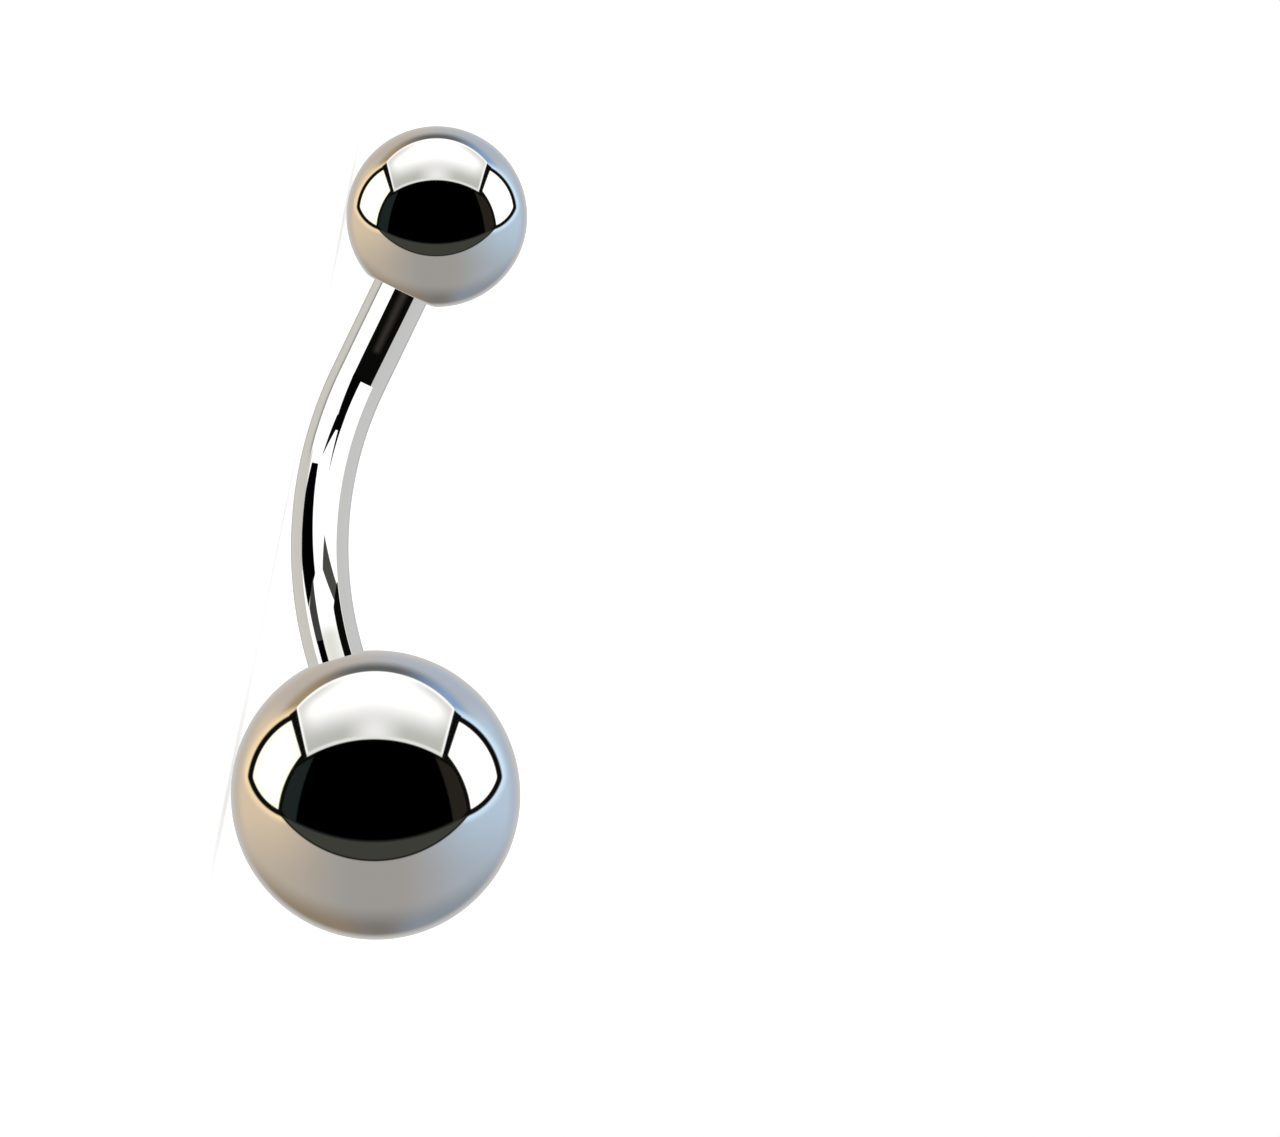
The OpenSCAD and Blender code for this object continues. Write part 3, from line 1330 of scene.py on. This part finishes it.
        least = self.wall_reach[0]
        side = 2 * self.wall_off_m * math.sqrt(1 - least**2) / least
        for end, sign in (("left", -1), ("right", 1)):
            way = self.ways()[0] * sign
            turn = way.to_track_quat("Z", "Y").to_matrix().to_4x4()
            at = Matrix.Translation(way * self.wall_off_m) @ turn
            self.drawn_light(f"{name}_{end}", (side, side), at, pieces, draw)

    def surroundings(self) -> bpy.types.World:
        """Makes the surroundings that the steel mirrors between the walls of light.

        Returns:
            The world, set on the scene.
        """
        world = bpy.data.worlds.new("studio")
        world.use_nodes = True
        tree = world.node_tree
        tree.nodes.clear()
        view = self.ball_view(tree, add_node(tree, "ShaderNodeTexCoord", {}).outputs["Generated"])
        colour = view.spot.paint(self.studio_colour(view), BLACK, view.aside)
        lit = add_node(tree, "ShaderNodeBackground", {"Color": colour, "Strength": 1.0}).outputs[0]
        white = (1.0, 1.0, 1.0, 1.0)
        plain = add_node(tree, "ShaderNodeBackground", {"Color": white, "Strength": 1.0}).outputs[0]
        seen = add_node(tree, "ShaderNodeLightPath", {}).outputs["Is Camera Ray"]
        shown = add_node(tree, "ShaderNodeMixShader", {0: seen, 1: lit, 2: plain}).outputs[0]
        add_node(tree, "ShaderNodeOutputWorld", {"Surface": shown})
        bpy.context.scene.world = world
        return world

    def bar_colour(self, view: BallView) -> Socket:
        """The plain pale walls that the bar mirrors beside its strip of light.

        Args:
            view: Where the directions show.

        Returns:
            Their colour: the strip's white runs a little further on the bar's upper left side.
        """
        spot = view.spot
        wall = spot.paint(light("C8C6C0"), light("C4C4C4"), spot.ramp(view.x, *SHARP_MIDDLE))
        rise = spot.put(MATHS, view.y, spot.both(view.x, self.wall_turn), operation="ADD")
        soft = SHARP_MIDDLE[1]
        upper_left = spot.both(spot.ramp(rise, 0.0, soft), spot.ramp(view.x, 0.0, -soft))
        colours = (light("93928E"), light("FFFFFF", self.strip_strength))
        for colour, (low, high) in zip(colours, self.wall_edges):
            outside, within = 1 - 2 * high**2, 1 - 2 * low**2
            mask = spot.both(upper_left, spot.ramp(view.facing, outside, within))
            wall = spot.paint(wall, colour, mask)
        inner, outer = (1 - 2 * share**2 for share in self.strip_edge)
        return spot.paint(BLACK, wall, spot.ramp(view.facing, inner, outer))

    def studio_colour(self, view: BallView) -> Socket:
        """The whole studio as the balls mirror it."""
        return self.far_end(view, self.panels(view, self.backdrop(view)))

    def backdrop(self, view: BallView) -> Socket:
        """The soft pale surroundings: warm to the left, cool to the right, darker below.

        Args:
            view: Where the directions show.

        Returns:
            Their colour.
        """
        spot, x, y = view.spot, view.x, view.y
        side = spot.ramp(x, *LEFT_TO_RIGHT)
        low = spot.paint(light("B4A99A"), light("A2ACB8"), side)
        high = spot.paint(light("D2BFA6"), light("B0C3D6"), side)
        colour = spot.paint(low, high, spot.ramp(y, *LOW_TO_HIGH))
        colour = spot.paint(light("9B9895"), colour, spot.ramp(view.folded, *MIDDLE_TO_SIDE))
        top = spot.paint(light("B4ABA2"), light("A8B0BA"), side)
        colour = spot.paint(colour, top, spot.ramp(y, *HIGH_TO_TOP))
        rim = spot.both(spot.mask(RIM, 0.035), spot.ramp(y, *RIM_FADE))
        colour = spot.paint(colour, spot.paint(light("B9AEA2"), light("A6B1C0"), side), rim)
        foot = spot.paint(light("877A68"), light("828A94"), spot.ramp(x, *FOOT_WARM_TO_COOL))
        foot = spot.paint(light("75716D"), foot, spot.ramp(view.folded, *FOOT_SHADE))
        colour = spot.paint(colour, foot, spot.mask(BELOW, 0.09))
        outer = spot.both(spot.mask(OUTER_RIM, 0.02), self.outer_rim_share)
        colour = spot.paint(colour, light("A8A6A4"), outer)
        flank = spot.paint(light("A08C6E"), light("86A0C4"), side)
        band = spot.paint(flank, light("5E5F60"), spot.ramp(view.folded, *BAND_MIDDLE))
        return spot.paint(colour, band, spot.mask(BAND_OVER_PANEL, 0.03))

    def far_end(self, view: BallView, colour: Socket) -> Socket:
        """Lays the studio's plain pale far end over the colour."""
        return view.spot.paint(colour, light("BAB8B6"), view.spot.ramp(view.facing, *FAR_END))

    def panels(self, view: BallView, colour: Socket) -> Socket:
        """The dark front with the white panels round it.

        Args:
            view: Where the directions show.
            colour: What they are laid over.

        Returns:
            The colour with the panels.
        """
        spot, edge = view.spot, self.panel_edge
        black = light("0C0C0A")
        white = light("FFFFFF", self.side_strength)
        side = spot.ramp(view.x, *SHARP_MIDDLE)
        glow = spot.paint(light("F6DDB4"), light("D0E8FC"), side)
        colour = spot.paint(colour, glow, spot.mask(SIDE_PANEL, 0.028, grow=0.065))
        colour = spot.paint(colour, black, spot.mask(SIDE_PANEL, 0.008, grow=0.038))
        colour = spot.paint(colour, black, spot.mask(WEDGE, edge))
        colour = spot.paint(colour, black, spot.mask(FRONT, edge))
        band = spot.paint(light("1D2423"), light("25221D"), side)
        colour = spot.paint(colour, band, spot.mask(FRONT, edge, grow=-0.028))
        colour = spot.paint(colour, light("3C3D38"), spot.mask(FRONT_FOOT, edge, grow=-0.012))
        colour = spot.paint(colour, light("000000"), spot.mask(FRONT_CORE, 0.008))
        cream = light("FFFDE8", self.panel_strength)
        panel = spot.paint(cream, white, spot.mask(SIDE_PANEL, 0.05, grow=-0.05))
        panel = spot.paint(panel, white, side)
        colour = spot.paint(colour, panel, spot.mask(SIDE_PANEL, edge))
        return spot.paint(colour, self.softbox(view), spot.mask(TOP_PANEL, edge))

    def softbox(self, view: BallView) -> Socket:
        """The overhead panel's own light: bright above, with soft grey folds in its lower part.

        Args:
            view: Where the directions show.

        Returns:
            Its colour.
        """
        spot = view.spot
        inner = spot.mask(TOP_PANEL, 0.014, grow=-0.012)
        upper = spot.both(spot.mask(PANEL_TOP, 0.05), spot.ramp(view.folded, *PANEL_TOP_SIDES))
        folds = spot.mask(PANEL_FOLDS, 0.13)
        colour = light("FFFFFF", self.panel_strength)
        colour = spot.paint(colour, light("D6D6D4"), spot.both(upper, inner))
        colour = spot.paint(colour, light("D8D8D6"), spot.both(spot.mask(PANEL_CORNER, 0.09), inner))
        colour = spot.paint(colour, light("B9BAB6"), spot.both(folds, inner))
        middle = spot.both(spot.ramp(view.folded, *PANEL_FOLD_MIDDLE), folds)
        colour = spot.paint(colour, light("EAEAEC"), middle)
        return spot.paint(colour, light("E2E2DE"), spot.mask(PANEL_SHEEN, 0.012))

    def build(self, bar: bpy.types.Object, balls: Sequence[bpy.types.Object]) -> None:
        """Sets the studio up and says what it holds.

        Args:
            bar: The bar, which has a strip and walls of light of its own.
            balls: Both balls, which mirror the coloured walls.
        """
        self.camera()
        self.floor()
        self.overhead()
        self.surroundings()
        self.walls("ball_wall", balls, self.studio_colour)
        self.walls("bar_wall", [bar], self.bar_colour)
        self.strip(bar)
        LOG.info("studio: floor, overhead light, lit surroundings, walls and the bar's strip")


def main() -> None:
    """Builds the studio and the ring, in order."""
    logging.basicConfig(level=logging.INFO, format="%(message)s")
    bpy.context.scene.view_settings.view_transform = "Standard"
    sizes = RingSizes()
    place = RestPlace(sizes)
    thread = ThreadForm()
    bar = CurvedBar(sizes, place, thread).build()
    balls = [LowerBall(sizes, place).build(), UpperBall(sizes, place, thread).build()]
    Studio(sizes, place).build(bar, balls)


if __name__ == "__main__":
    main()
